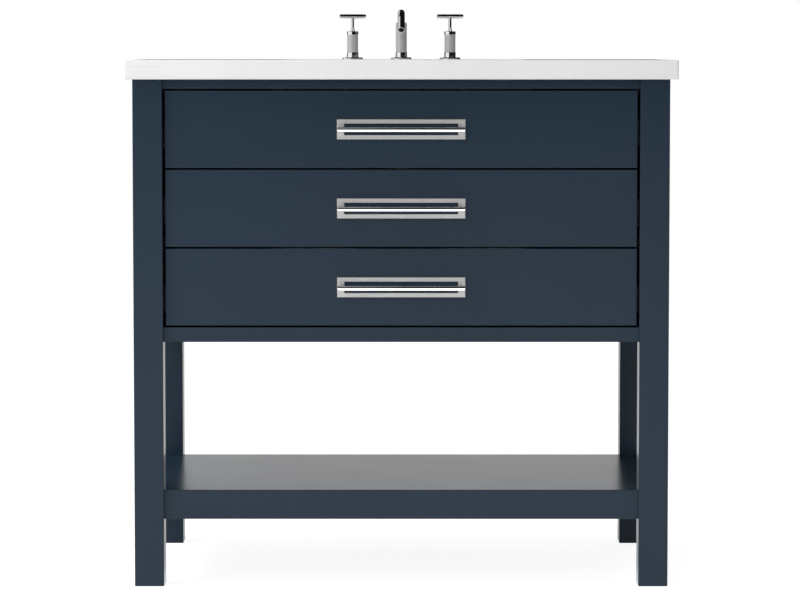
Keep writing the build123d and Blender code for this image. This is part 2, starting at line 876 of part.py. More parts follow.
def make_spout():
    place = (0, faucet_y)
    low = counter_top + escutcheon_thickness + base_ring_height
    bore_top = counter_top + handle_column_height - top_ring_height + fit_clearance
    top = counter_top + spout_column_height
    seat = top - tube_seat
    outer = column_diameter / 2
    with BuildPart() as column:
        profile = (
            (column_bore / 2, low),
            (outer, low),
            (outer, top - groove_width),
            (outer - groove_width, top),
            (tube_diameter / 2 + fit_clearance, top),
            (tube_diameter / 2 + fit_clearance, seat),
            (0, seat),
            (0, bore_top),
            (column_bore / 2, bore_top),
        )
        turned(place, profile)
    keep(column, "spout_column")

    side_view = Plane(origin=(0, faucet_y, counter_top), x_dir=(0, -1, 0), z_dir=(-1, 0, 0))
    with BuildLine(side_view) as route:
        rise = Line((0, spout_column_height - tube_seat), (0, spout_column_height))
        heel = JernArc(rise @ 1, rise % 1, radius=heel_radius, arc_size=-heel_turn)
        crown = JernArc(heel @ 1, heel % 1, radius=crown_radius, arc_size=-crown_turn)
        PolarLine(crown @ 1, nose_length, direction=crown % 1)
    with BuildPart() as tube:
        with BuildSketch(Plane(origin=route.line @ 0, z_dir=route.line % 0)):
            Circle(tube_diameter / 2)
            Circle(tube_diameter / 2 - tube_wall, mode=Mode.SUBTRACT)
        sweep(path=route.line)
    keep(tube, "spout_tube")

    outlet = route.line @ 1
    inwards = -(route.line % 1)
    with BuildPart() as aerator:
        with BuildSketch(Plane(origin=outlet + inwards * aerator_recess, z_dir=inwards)):
            Circle(tube_diameter / 2 - tube_wall - fit_clearance / 2)
            Circle(aerator_jet / 2, mode=Mode.SUBTRACT)
        extrude(amount=aerator_length)
    keep(aerator, "spout_aerator")


# ================================================================ assembly
make_legs()
make_front_rail((opening_top, cabinet_height), "rail_front_top")
make_front_rail((cabinet_bottom, opening_bottom), "rail_front_bottom")
make_back_rail()
make_side_panels()
make_back_panel()
make_cabinet_floor()
make_corner_blocks()
make_slide_cleats()
make_slide_tracks()
make_shelf()

basin_well_front = bowl_y - bowl_outer_half_width - well_clearance
make_drawer("top", 0, bowl_outer_half_length + well_clearance, basin_well_front)
make_drawer("middle", 1, trap_well_width / 2, bowl_y - trap_well_reach)
make_drawer("bottom", 2)

make_countertop()
make_basin()
make_drain()
make_escutcheons()
make_base_rings()
make_handle_sleeves()
make_shanks()
make_mounting_nuts()
make_handle("hot", handle_places[0])
make_handle("cold", handle_places[1])
make_spout()
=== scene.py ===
import math

import bmesh
import bpy
from mathutils import Matrix, Vector


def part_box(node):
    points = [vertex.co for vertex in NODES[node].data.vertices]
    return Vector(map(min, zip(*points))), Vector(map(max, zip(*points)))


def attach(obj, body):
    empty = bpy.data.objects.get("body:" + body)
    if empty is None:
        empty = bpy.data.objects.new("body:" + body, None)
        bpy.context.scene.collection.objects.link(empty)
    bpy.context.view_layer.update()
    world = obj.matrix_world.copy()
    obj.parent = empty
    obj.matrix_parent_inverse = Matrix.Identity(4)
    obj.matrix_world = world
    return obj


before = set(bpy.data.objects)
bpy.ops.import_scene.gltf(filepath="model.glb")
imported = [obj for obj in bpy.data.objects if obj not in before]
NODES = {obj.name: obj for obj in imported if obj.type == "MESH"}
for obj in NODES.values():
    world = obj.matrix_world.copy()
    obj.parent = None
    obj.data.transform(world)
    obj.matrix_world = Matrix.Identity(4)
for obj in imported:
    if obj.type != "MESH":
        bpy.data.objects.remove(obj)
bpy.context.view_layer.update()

# Bathroom vanity cabinet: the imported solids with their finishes, and the hardware that the solids leave out.
# Metres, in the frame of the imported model: +X right, -Y front, +Z up, the floor at z = 0.

LEVELS = ("top", "middle", "bottom")
MM = 0.001


# ---------------------------------------------------------------- shader graphs
def set_range(node, low, high, bottom, top):
    """Sets a Map Range node to turn the range from low to high into bottom to top."""
    for socket, value in zip(("From Min", "From Max", "To Min", "To Max"), (low, high, bottom, top)):
        node.inputs[socket].default_value = value


class Finish:
    """A material with one Principled shader, and short ways to build the patterns that feed it."""

    def __init__(self, name, colour, roughness, **constants):
        self.material = bpy.data.materials.new(name)
        self.material.use_nodes = True
        self.tree = self.material.node_tree
        self.shader = self.tree.nodes["Principled BSDF"]
        self.shader.inputs["Base Color"].default_value = (*colour, 1)
        self.shader.inputs["Roughness"].default_value = roughness
        for socket, value in constants.items():
            self.shader.inputs[socket.replace("_", " ")].default_value = value
        self.place = self.node("ShaderNodeTexCoord").outputs["Object"]
        self.height = None

    def node(self, kind, **settings):
        made = self.tree.nodes.new(kind)
        for name, value in settings.items():
            setattr(made, name, value)
        return made

    def feed(self, socket, source):
        self.tree.links.new(source, socket)

    def stretched(self, scale, turn=(0, 0, 0)):
        """Object coordinates multiplied along each axis; a small number makes a long grain."""
        mapping = self.node("ShaderNodeMapping")
        mapping.inputs["Scale"].default_value = scale
        mapping.inputs["Rotation"].default_value = turn
        self.feed(mapping.inputs["Vector"], self.place)
        return mapping.outputs["Vector"]

    def noise(self, where, scale, detail=3.0, roughness=0.55, distortion=0.0):
        noise = self.node("ShaderNodeTexNoise")
        noise.inputs["Scale"].default_value = scale
        noise.inputs["Detail"].default_value = detail
        noise.inputs["Roughness"].default_value = roughness
        noise.inputs["Distortion"].default_value = distortion
        self.feed(noise.inputs["Vector"], where)
        return noise.outputs["Fac"]

    def ranged(self, source, low, high, bottom, top):
        """The source's range from low to high, turned into bottom to top."""
        ranged = self.node("ShaderNodeMapRange")
        set_range(ranged, low, high, bottom, top)
        self.feed(ranged.inputs["Value"], source)
        return ranged.outputs["Result"]

    def tones(self, source, *stops):
        """A colour ramp over the source: stops are (place, colour)."""
        ramp = self.node("ShaderNodeValToRGB")
        elements = ramp.color_ramp.elements
        while len(elements) < len(stops):
            elements.new(0.5)
        for element, (at, colour) in zip(elements, stops):
            element.position = at
            element.color = (*colour, 1)
        self.feed(ramp.inputs["Fac"], source)
        return ramp.outputs["Color"]

    def mixed(self, amount, first, second):
        mix = self.node("ShaderNodeMix", data_type="RGBA")
        self.feed(mix.inputs["Factor"], amount)
        self.feed(mix.inputs["A"], first)
        self.feed(mix.inputs["B"], second)
        return mix.outputs["Result"]

    def colour(self, source):
        self.feed(self.shader.inputs["Base Color"], source)

    def rough(self, source):
        self.feed(self.shader.inputs["Roughness"], source)

    def relief(self, source, depth, strength=1.0):
        """Adds a bump of the given depth in metres on top of the ones before it."""
        bump = self.node("ShaderNodeBump")
        bump.inputs["Strength"].default_value = strength
        bump.inputs["Distance"].default_value = depth
        self.feed(bump.inputs["Height"], source)
        if self.height is not None:
            self.feed(bump.inputs["Normal"], self.height)
        self.height = bump.outputs["Normal"]
        self.feed(self.shader.inputs["Normal"], self.height)


def shade(colour, factor):
    return tuple(channel * factor for channel in colour)


# ---------------------------------------------------------------- finishes
NAVY = (0.0160, 0.0314, 0.0502)


def navy_paint(name):
    """Sprayed satin lacquer: almost even, with a slow drift of tone and a fine orange peel."""
    finish = Finish(name, NAVY, 0.26, IOR=1.24)
    drift = finish.noise(finish.place, 2.2, detail=2.0)
    flow = finish.noise(finish.place, 9.0, detail=1.0)
    peel = finish.noise(finish.place, 700.0, detail=1.0)
    finish.colour(finish.tones(drift, (0.3, shade(NAVY, 0.95)), (0.7, shade(NAVY, 1.05))))
    finish.rough(finish.ranged(flow, 0.35, 0.65, 0.257, 0.265))
    finish.relief(peel, 0.000003, 0.2)
    return finish.material


def lacquered_wood(name, along, colour, lacquer, shaded_from=None):
    """Clear board with its grain along one axis, 0 for X or 1 for Y. Where the y of its front end is
    given, that end turns navy: painted shade, dark like the gaps between the drawers that it shows through."""
    band_across, band_along = 34.0, 1.6
    pore_across, pore_along = 900.0, 30.0
    # From the front end: where the painted shade is full, and where it has faded out
    shade_full, shade_end = 45 * MM, 80 * MM
    finish = Finish(name, colour, 0.4, Coat_Weight=lacquer, Coat_Roughness=0.25)
    board_scale = [band_across] * 3
    board_scale[along] = band_along
    pore_scale = [pore_across] * 3
    pore_scale[along] = pore_along
    bands = finish.noise(finish.stretched(board_scale), 1.0, detail=4.0, roughness=0.5, distortion=0.6)
    pores = finish.noise(finish.stretched(pore_scale), 1.0, detail=2.0)
    board = finish.tones(
        bands, (0.3, shade(colour, 0.80)), (0.48, shade(colour, 0.97)), (0.7, shade(colour, 1.06))
    )
    dark_pore = finish.tones(pores, (0.3, shade(colour, 0.62)), (0.42, shade(colour, 0.98)))
    pore_amount = finish.ranged(pores, 0.28, 0.42, 0.5, 0.0)
    surface = finish.mixed(pore_amount, board, dark_pore)
    # Painted shade: the board's front end turns navy, to keep the gaps between the drawers dark
    if shaded_from is not None:
        apart = finish.node("ShaderNodeSeparateXYZ")
        finish.feed(apart.inputs["Vector"], finish.place)
        depth = apart.outputs["Y"]
        shaded_amount = finish.ranged(depth, shaded_from + shade_full, shaded_from + shade_end, 1.0, 0.0)
        shade_tone = finish.tones(bands, (0.3, shade(NAVY, 0.9)), (0.7, shade(NAVY, 1.1)))
        surface = finish.mixed(shaded_amount, surface, shade_tone)
    finish.colour(surface)
    finish.rough(finish.ranged(bands, 0.3, 0.7, 0.36, 0.5))
    finish.relief(bands, 0.0002, 0.2)
    finish.relief(pores, 0.00008, 0.3)
    return finish.material


def white_stone(name):
    """Polished white quartz with faint grey streaks along the counter."""
    base = (0.87, 0.87, 0.87)
    finish = Finish(name, base, 0.2)
    along_counter = finish.stretched((2.2, 16.0, 130.0))
    streaks = finish.noise(along_counter, 1.0, detail=5.0, roughness=0.6, distortion=0.4)
    cloud = finish.noise(finish.place, 9.0, detail=3.0)
    veined = finish.tones(
        streaks, (0.30, shade(base, 0.88)), (0.45, shade(base, 0.99)), (0.62, base), (0.8, shade(base, 1.05))
    )
    pale = finish.tones(cloud, (0.3, shade(base, 0.98)), (0.7, shade(base, 1.03)))
    finish.colour(finish.mixed(finish.ranged(cloud, 0.35, 0.7, 0.15, 0.5), veined, pale))
    finish.rough(finish.ranged(cloud, 0.3, 0.7, 0.17, 0.25))
    finish.relief(cloud, 0.00005, 0.2)
    return finish.material


def white_china(name):
    """Glazed vitreous china, a little warmer than the stone."""
    base = (0.84, 0.84, 0.82)
    finish = Finish(name, base, 0.12, Coat_Weight=0.6, Coat_Roughness=0.05)
    flow = finish.noise(finish.place, 14.0, detail=2.0)
    finish.colour(finish.tones(flow, (0.3, shade(base, 0.975)), (0.7, shade(base, 1.01))))
    finish.rough(finish.ranged(flow, 0.3, 0.7, 0.10, 0.16))
    finish.relief(flow, 0.0003, 0.15)
    return finish.material


def polished_chrome(name):
    """Mirror plating with faint smudges."""
    metal = (0.86, 0.87, 0.88)
    finish = Finish(name, metal, 0.06, Metallic=1.0)
    smudge = finish.noise(finish.place, 55.0, detail=4.0, roughness=0.6)
    finish.colour(finish.tones(smudge, (0.3, shade(metal, 0.96)), (0.7, metal)))
    finish.rough(finish.ranged(smudge, 0.35, 0.75, 0.035, 0.10))
    finish.relief(smudge, 0.00002, 0.2)
    return finish.material


def satin_chrome(name, metal, sheen, brush, roughness=0.46):
    """Fine bead-blasted and brushed plating. sheen is how much of it reflects as metal does, and brush is
    the lines' stretch along each axis."""
    finish = Finish(name, metal, roughness, Metallic=sheen)
    lines = finish.noise(finish.stretched(brush), 1.0, detail=3.0, roughness=0.6)
    cloud = finish.noise(finish.place, 40.0, detail=2.0)
    finish.colour(finish.tones(cloud, (0.3, shade(metal, 0.97)), (0.7, shade(metal, 1.03))))
    finish.rough(finish.ranged(lines, 0.3, 0.7, roughness - 0.04, roughness + 0.04))
    finish.relief(lines, 0.00001, 0.15)
    return finish.material


def plated_steel(name):
    """Zinc-plated sheet of the slides, with faint spangle and drawing lines along the slide."""
    metal = (0.62, 0.63, 0.64)
    finish = Finish(name, metal, 0.34, Metallic=1.0)
    spangle = finish.noise(finish.place, 120.0, detail=4.0, roughness=0.7)
    lines = finish.noise(finish.stretched((900.0, 12.0, 900.0)), 1.0, detail=2.0)
    finish.colour(finish.tones(spangle, (0.3, shade(metal, 0.86)), (0.7, shade(metal, 1.08))))
    finish.rough(finish.ranged(spangle, 0.3, 0.7, 0.26, 0.42))
    finish.relief(lines, 0.00003, 0.3)
    return finish.material


def machined_brass(name):
    """Turned brass with a light tarnish."""
    metal = (0.72, 0.53, 0.25)
    finish = Finish(name, metal, 0.3, Metallic=1.0)
    tarnish = finish.noise(finish.place, 90.0, detail=4.0, roughness=0.6)
    turning = finish.noise(finish.stretched((40.0, 40.0, 2600.0)), 1.0, detail=1.0)
    finish.colour(finish.tones(tarnish, (0.3, shade(metal, 0.75)), (0.65, metal)))
    finish.rough(finish.ranged(tarnish, 0.3, 0.7, 0.22, 0.4))
    finish.relief(turning, 0.00004, 0.3)
    return finish.material


def dark_plastic(name):
    """Black moulded plastic with a fine grit."""
    base = (0.012, 0.012, 0.013)
    finish = Finish(name, base, 0.45)
    grit = finish.noise(finish.place, 600.0, detail=2.0)
    finish.colour(finish.tones(grit, (0.3, shade(base, 0.8)), (0.7, shade(base, 1.3))))
    finish.relief(grit, 0.00004, 0.4)
    return finish.material


def paint(node, material):
    """Gives a CAD node its finish."""
    for slot in NODES[node].material_slots:
        slot.material = material


def finish_cabinet():
    navy = navy_paint("navy_paint")
    legs = [f"leg_{end}_{side}" for end in ("front", "rear") for side in ("left", "right")]
    rails = ("rail_front_top", "rail_front_bottom", "rail_back_top")
    panels = ("cabinet_floor", "side_panels", "back_panel")
    shelf = ("shelf_panel", "shelf_rail_front", "shelf_rail_rear", "shelf_rails_side")
    fronts = [f"drawer_{level}_front" for level in LEVELS]
    for name in (*legs, *rails, *panels, *shelf, *fronts):
        paint(name, navy)


def finish_woodwork():
    birch = (0.62, 0.44, 0.26)
    pine = (0.60, 0.43, 0.25)
    across = lacquered_wood("birch_across", 0, birch, 0.5)
    deep = lacquered_wood("birch_deep", 1, birch, 0.5)
    # The front ends of the cleats and corner blocks carry painted shade, seen through the gaps
    bare = lacquered_wood("bare_wood_deep", 1, pine, 0.0, shaded_from=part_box("slide_cleats")[0].y)
    for level in LEVELS:
        paint(f"drawer_{level}_box_sides", deep)
        paint(f"drawer_{level}_box_ends", across)
        paint(f"drawer_{level}_bottom", across)
    for level in ("top", "middle"):
        paint(f"drawer_{level}_well", deep)
    paint("slide_cleats", bare)
    paint("corner_blocks", bare)


def finish_metalwork():
    chrome = polished_chrome("polished_chrome")
    steel = plated_steel("zinc_plated_steel")
    brass = machined_brass("machined_brass")
    upright, sideways, no_way = (1500.0, 1500.0, 30.0), (30.0, 900.0, 1500.0), (200.0, 200.0, 200.0)
    sleeve = satin_chrome("satin_chrome_sleeves", (0.47, 0.47, 0.475), sheen=0.36, brush=upright)
    plate = satin_chrome("satin_chrome_plates", (0.48, 0.475, 0.47), sheen=0.6, brush=sideways)
    for level in LEVELS:
        paint(f"drawer_{level}_pull_bar", chrome)
        paint(f"drawer_{level}_pull_plate", plate)
        paint(f"drawer_{level}_slide_members", steel)
        paint(f"drawer_{level}_slide_carriers", steel)
    paint("slide_tracks", steel)
    for name in ("hot_handle_hub", "hot_handle_bar", "cold_handle_hub", "cold_handle_bar", "spout_tube"):
        paint(name, chrome)
    for name in ("faucet_base_rings", "faucet_escutcheons", "drain_tailpiece"):
        paint(name, chrome)
    drain = satin_chrome("satin_chrome_drain", (0.72, 0.72, 0.73), sheen=1.0, brush=no_way, roughness=0.24)
    for name in ("drain_body", "drain_stopper"):
        paint(name, drain)
    for name in ("handle_sleeves", "spout_column"):
        paint(name, sleeve)
    for name in ("faucet_shanks", "mounting_nuts"):
        paint(name, brass)
    paint("spout_aerator", dark_plastic("dark_plastic"))


def finish_counter():
    paint("countertop", white_stone("white_stone"))
    paint("sink_basin", white_china("white_china"))


# ---------------------------------------------------------------- growing what repeats
class Growth:
    """A Geometry Nodes tree with named inputs; it ends in Realize Instances and Set Material."""

    def __init__(self, name, **sizes):
        self.group = bpy.data.node_groups.new(name, "GeometryNodeTree")
        sockets = self.group.interface
        sockets.new_socket("Geometry", in_out="INPUT", socket_type="NodeSocketGeometry")
        for label, size in sizes.items():
            kind = "NodeSocketInt" if isinstance(size, int) else "NodeSocketFloat"
            sockets.new_socket(label.replace("_", " "), in_out="INPUT", socket_type=kind).default_value = size
        sockets.new_socket("Material", in_out="INPUT", socket_type="NodeSocketMaterial")
        sockets.new_socket("Geometry", in_out="OUTPUT", socket_type="NodeSocketGeometry")
        self.inputs = self.group.nodes.new("NodeGroupInput").outputs

    def add(self, kind, feeds=None, **settings):
        """A node with its settings, and with each named socket linked to an output or set to a value."""
        made = self.group.nodes.new(kind)
        for name, value in settings.items():
            setattr(made, name, value)
        for socket, source in (feeds or {}).items():
            if isinstance(source, bpy.types.NodeSocket):
                self.group.links.new(source, made.inputs[socket])
            else:
                made.inputs[socket].default_value = source
        return made

    def calc(self, operation, first, second=0.0):
        return self.add("ShaderNodeMath", {0: first, 1: second}, operation=operation).outputs[0]

    def vector(self, x, y, z):
        return self.add("ShaderNodeCombineXYZ", {"X": x, "Y": y, "Z": z}).outputs[0]

    def moved(self, geometry, offset, turn=(0, 0, 0)):
        feeds = {"Geometry": geometry, "Translation": offset, "Rotation": turn}
        return self.add("GeometryNodeTransform", feeds).outputs[0]

    def joined(self, *parts):
        join = self.add("GeometryNodeJoinGeometry")
        for part in parts:
            self.group.links.new(part, join.inputs[0])
        return join.outputs[0]

    def facing(self):
        """The turn that takes +Z to the way that each point faces."""
        feeds = {"Name": "facing"}
        way = self.add("GeometryNodeInputNamedAttribute", feeds, data_type="FLOAT_VECTOR").outputs[0]
        return self.add("FunctionNodeAlignRotationToVector", {"Vector": way}, axis="Z").outputs[0]

    def spread(self, points, shape, turn=None):
        feeds = {"Points": points, "Instance": shape}
        if turn is not None:
            feeds["Rotation"] = turn
        return self.add("GeometryNodeInstanceOnPoints", feeds).outputs[0]

    def finish(self, geometry, smooth=False):
        real = self.add("GeometryNodeRealizeInstances", {"Geometry": geometry}).outputs[0]
        if smooth:
            real = self.add("GeometryNodeSetShadeSmooth", {"Geometry": real}).outputs[0]
        feeds = {"Geometry": real, "Material": self.inputs["Material"]}
        dressed = self.add("GeometryNodeSetMaterial", feeds).outputs[0]
        self.add("NodeGroupOutput", {"Geometry": dressed})
        return self.group


def grow(name, seeds, tree, body, slot, material, **sizes):
    """Runs a tree over its seeds, keeps the result as a plain mesh, and lets that ride on a body."""
    made = bpy.data.objects.new(name, seeds)
    bpy.context.scene.collection.objects.link(made)
    modifier = made.modifiers.new("growth", "NODES")
    modifier.node_group = tree
    values = {label.replace("_", " "): size for label, size in sizes.items()}
    values["Material"] = material
    for item in tree.interface.items_tree:
        if item.in_out == "INPUT" and item.name in values:
            modifier[item.identifier] = values[item.name]
    ready = made.evaluated_get(bpy.context.evaluated_depsgraph_get())
    mesh = bpy.data.meshes.new_from_object(ready)
    made.modifiers.remove(modifier)
    made.data = mesh
    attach(made, body)
    return made


def point_seeds(name, places):
    """Loose points, each with the way that it faces: places are (point, way)."""
    mesh = bpy.data.meshes.new(name)
    mesh.from_pydata([point for point, way in places], [], [])
    facing = mesh.attributes.new("facing", "FLOAT_VECTOR", "POINT")
    facing.data.foreach_set("vector", [part for point, way in places for part in way])
    return mesh


def line_seeds(name, lines):
    """Straight lines: each is (start, end)."""
    mesh = bpy.data.meshes.new(name)
    corners = [corner for line in lines for corner in line]
    mesh.from_pydata(corners, [(2 * i, 2 * i + 1) for i in range(len(lines))], [])
    return mesh


def screw_tree():
    """Pan-head screws with a cross recess, one on each point, each turned by chance."""
    quarter_turn, seed = 1.57, 7
    tree = Growth("screw_heads", Head_Diameter=0.007, Head_Height=0.0018, Recess_Width=0.001)
    width, height, slot = (tree.inputs[label] for label in ("Head Diameter", "Head Height", "Recess Width"))
    feeds = {"Vertices": 24, "Side Segments": 4, "Radius": tree.calc("MULTIPLY", width, 0.5), "Depth": height}
    blank = tree.add("GeometryNodeMeshCylinder", feeds).outputs[0]
    place = tree.add("GeometryNodeInputPosition").outputs[0]
    rise = tree.add("ShaderNodeSeparateXYZ", {0: place}).outputs["Z"]
    shoulder_foot, crown = tree.calc("MULTIPLY", height, -0.25), tree.calc("MULTIPLY", height, 0.5)
    feeds = {"Value": rise, "From Min": shoulder_foot, "From Max": crown}
    shoulder = tree.calc("POWER", tree.add("ShaderNodeMapRange", feeds).outputs[0], 2.0)
    inset = tree.calc("SUBTRACT", 1.0, tree.calc("MULTIPLY", shoulder, 0.34))
    feeds = {0: place, 1: tree.vector(inset, inset, 1.0)}
    shrunk = tree.add("ShaderNodeVectorMath", feeds, operation="MULTIPLY")
    dome = tree.add("GeometryNodeSetPosition", {"Geometry": blank, "Position": shrunk.outputs[0]}).outputs[0]
    reach = tree.calc("MULTIPLY", width, 0.52)
    arms = [
        tree.add("GeometryNodeMeshCube", {"Size": tree.vector(*size)}).outputs[0]
        for size in ((reach, slot, height), (slot, reach, height))
    ]
    half_up = tree.vector(0.0, 0.0, tree.calc("MULTIPLY", height, 0.55))
    cut = tree.add("GeometryNodeMeshBoolean", {"Mesh 1": dome}, operation="DIFFERENCE", solver="EXACT")
    for arm in arms:
        tree.group.links.new(tree.moved(arm, half_up), cut.inputs["Mesh 2"])
    head = tree.moved(cut.outputs[0], tree.vector(0.0, 0.0, tree.calc("MULTIPLY", height, 0.44)))
    feeds = {2: 0.0, 3: quarter_turn, "Seed": seed}
    spin = tree.add("FunctionNodeRandomValue", feeds, data_type="FLOAT").outputs[1]
    twist = tree.add("FunctionNodeEulerToRotation", {0: tree.vector(0.0, 0.0, spin)}).outputs[0]
    feeds = {"Rotation": tree.facing(), "Rotate By": twist}
    turn = tree.add("FunctionNodeRotateRotation", feeds, rotation_space="LOCAL").outputs[0]
    return tree.finish(tree.spread(tree.inputs["Geometry"], head, turn))


def ball_tree():
    """Bearing balls in a row along each line."""
    tree = Growth("ball_rows", Ball_Diameter=0.0032, Ball_Pitch=0.0056)
    line = tree.add("GeometryNodeMeshToCurve", {"Mesh": tree.inputs["Geometry"]}).outputs[0]
    feeds = {"Curve": line, "Length": tree.inputs["Ball Pitch"]}
    row = tree.add("GeometryNodeResampleCurve", feeds, mode="LENGTH").outputs[0]
    feeds = {"Radius": tree.calc("MULTIPLY", tree.inputs["Ball Diameter"], 0.5), "Subdivisions": 2}
    ball = tree.add("GeometryNodeMeshIcoSphere", feeds).outputs[0]
    return tree.finish(tree.spread(row, ball), smooth=True)


def thread_tree():
    """Ridges of a screw thread round each upright line."""
    tree = Growth("thread_ridges", Thread_Diameter=0.02, Thread_Pitch=0.0014, Ridge_Height=0.0005)
    line = tree.add("GeometryNodeMeshToCurve", {"Mesh": tree.inputs["Geometry"]}).outputs[0]
    feeds = {"Curve": line, "Length": tree.inputs["Thread Pitch"]}
    places = tree.add("GeometryNodeResampleCurve", feeds, mode="LENGTH").outputs[0]
    ridge = tree.inputs["Ridge Height"]
    outside = tree.calc("MULTIPLY", tree.inputs["Thread Diameter"], 0.5)
    hoop_radius = tree.calc("SUBTRACT", outside, tree.calc("MULTIPLY", ridge, 0.7))
    hoop = tree.add("GeometryNodeCurvePrimitiveCircle", {"Resolution": 40, "Radius": hoop_radius}).outputs[0]
    section = tree.add("GeometryNodeCurvePrimitiveCircle", {"Resolution": 4, "Radius": ridge}).outputs[0]
    ring = tree.add("GeometryNodeCurveToMesh", {"Curve": hoop, "Profile Curve": section}).outputs[0]
    return tree.finish(tree.spread(places, ring))


def screen_tree():
    """A round screen of crossed wires on each point."""
    tree = Growth("wire_screen", Screen_Radius=0.0044, Wire_Pitch=0.0008, Wire_Diameter=0.0003)
    radius, pitch, wire = (tree.inputs[label] for label in ("Screen Radius", "Wire Pitch", "Wire Diameter"))
    count = tree.calc("FLOOR", tree.calc("DIVIDE", tree.calc("MULTIPLY", radius, 1.9), pitch))
    start = tree.calc("MULTIPLY", tree.calc("SUBTRACT", count, 1.0), tree.calc("MULTIPLY", pitch, -0.5))
    first, step = tree.vector(0.0, start, 0.0), tree.vector(0.0, pitch, 0.0)
    feeds = {"Count": count, "Start Location": first, "Offset": step}
    rows = tree.add("GeometryNodeMeshLine", feeds).outputs[0]
    place = tree.add("GeometryNodeInputPosition").outputs[0]
    across = tree.add("ShaderNodeSeparateXYZ", {0: place}).outputs["Y"]
    room = tree.calc("SUBTRACT", tree.calc("MULTIPLY", radius, radius), tree.calc("MULTIPLY", across, across))
    chord = tree.calc("MULTIPLY", tree.calc("SQRT", tree.calc("MAXIMUM", room, 0.0)), 2.0)
    feeds = {"Vertices": 6, "Radius": tree.calc("MULTIPLY", wire, 0.5), "Depth": 1.0}
    strand = tree.add("GeometryNodeMeshCylinder", feeds).outputs[0]
    strand = tree.moved(strand, (0, 0, 0), (0, math.pi / 2, 0))
    feeds = {"Points": rows, "Instance": strand, "Scale": tree.vector(chord, 1.0, 1.0)}
    warp = tree.add("GeometryNodeInstanceOnPoints", feeds).outputs[0]
    weft = tree.moved(warp, tree.vector(0.0, 0.0, tree.calc("MULTIPLY", wire, 0.6)), (0, 0, math.pi / 2))
    screen = tree.add("GeometryNodeRealizeInstances", {"Geometry": tree.joined(warp, weft)}).outputs[0]
    return tree.finish(tree.spread(tree.inputs["Geometry"], screen, tree.facing()))


# ---------------------------------------------------------------- hardware
# Sizes of the solids that their boxes don't give
BOARD = 12 * MM  # thickness of a drawer box's boards
SHEET = 1.3 * MM  # thickness of the slides' sheet
MEMBER_DEPTH = 7.7 * MM  # of a drawer member's channel, from its web to its lips
RACE = 3.9 * MM  # height of a carrier's ball race
POST_INSET = 8 * MM  # from a pull plate's end to its post
BLOCK = 70 * MM  # edge of a corner block
VALVE_BODY = 24 * MM  # diameter of a valve body under the counter


def both_sides(x, y, z, way):
    """A point and its way on the right, and their mirror images on the left."""
    return [((side * x, y, z), (side * way[0], way[1], way[2])) for side in (1, -1)]


def middle_height(node):
    """Height of the middle of a node."""
    low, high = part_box(node)
    return (low.z + high.z) / 2


def add_screws(steel):
    """Screws of the pulls, the drawer boxes, the slides, the back panel and the corner blocks."""
    tree = screw_tree()

    def drive(name, places, piece, body, diameter, height, **more):
        """One piece of screws, with their heads' diameter and height in millimetres."""
        seeds = point_seeds(name, places)
        sizes = {"Head_Diameter": diameter * MM, "Head_Height": height * MM, **more}
        grow(piece, seeds, tree, body, "slide_steel", steel, **sizes)

    for level in LEVELS:
        body = f"drawer_{level}"
        low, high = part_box(f"{body}_box_ends")
        inside, height = low.y + BOARD, high.z - low.z
        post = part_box(f"{body}_pull_plate")[1].x - POST_INSET
        places = both_sides(post, inside, middle_height(f"{body}_pull_plate"), (0, 1, 0))
        drive("pull_screws", places, f"{body}_pull_screws", body, 8.4, 2.4, Recess_Width=1.3 * MM)

        places = []
        for share in (0.36, 0.78):  # of the box's height
            places += both_sides(300 * MM, inside, low.z + share * height, (0, 1, 0))
        low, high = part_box(f"{body}_slide_members")
        web, z = high.x - MEMBER_DEPTH + SHEET, middle_height(f"{body}_slide_members")
        for y in (low.y + 24 * MM, low.y + 150 * MM, low.y + 280 * MM, high.y - 30 * MM):
            places += both_sides(web, y, z, (1, 0, 0))
        drive("box_screws", places, f"{body}_box_screws", body, 6.8, 1.7)

    places = []
    low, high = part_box("slide_tracks")
    for level in LEVELS:
        z = middle_height(f"drawer_{level}_slide_members")
        for y in (low.y + 35 * MM, low.y + 200 * MM, high.y - 40 * MM):
            places += both_sides(high.x - SHEET, y, z, (-1, 0, 0))
    drive("track_screws", places, "slide_track_screws", "cabinet", 7.6, 0.8)

    places = []
    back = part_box("back_panel")[1].y
    for z in (middle_height("rail_back_top"), middle_height("cabinet_floor")):
        places += [((x * MM, back, z), (0, 1, 0)) for x in range(-370, 371, 148)]
    low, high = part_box("corner_blocks")
    for y in (low.y + BLOCK / 3, high.y - BLOCK / 3):
        places += both_sides(high.x - BLOCK / 3, y, low.z, (0, 0, -1))
    drive("panel_screws", places, "cabinet_panel_screws", "cabinet", 7.0, 1.6)


def add_bearings(bright):
    """Balls along the carriers' four races, which show when a drawer is out."""
    tree = ball_tree()
    stop = 4 * MM  # from a row's end to the carrier's
    for level in LEVELS:
        low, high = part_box(f"drawer_{level}_slide_carriers")
        middle, reach = (low.z + high.z) / 2, (high.z - low.z) / 2 - RACE / 2
        edge = high.x - MEMBER_DEPTH
        lines = []
        for side in (1, -1):
            for rise in (reach, -reach):
                x, z = side * edge, middle + rise
                lines.append(((x, low.y + stop, z), (x, high.y - stop, z)))
        seeds = line_seeds("bearing_rows", lines)
        grow(f"slide_{level}_bearing_balls", seeds, tree, f"slide_carriers_{level}", "slide_steel", bright)


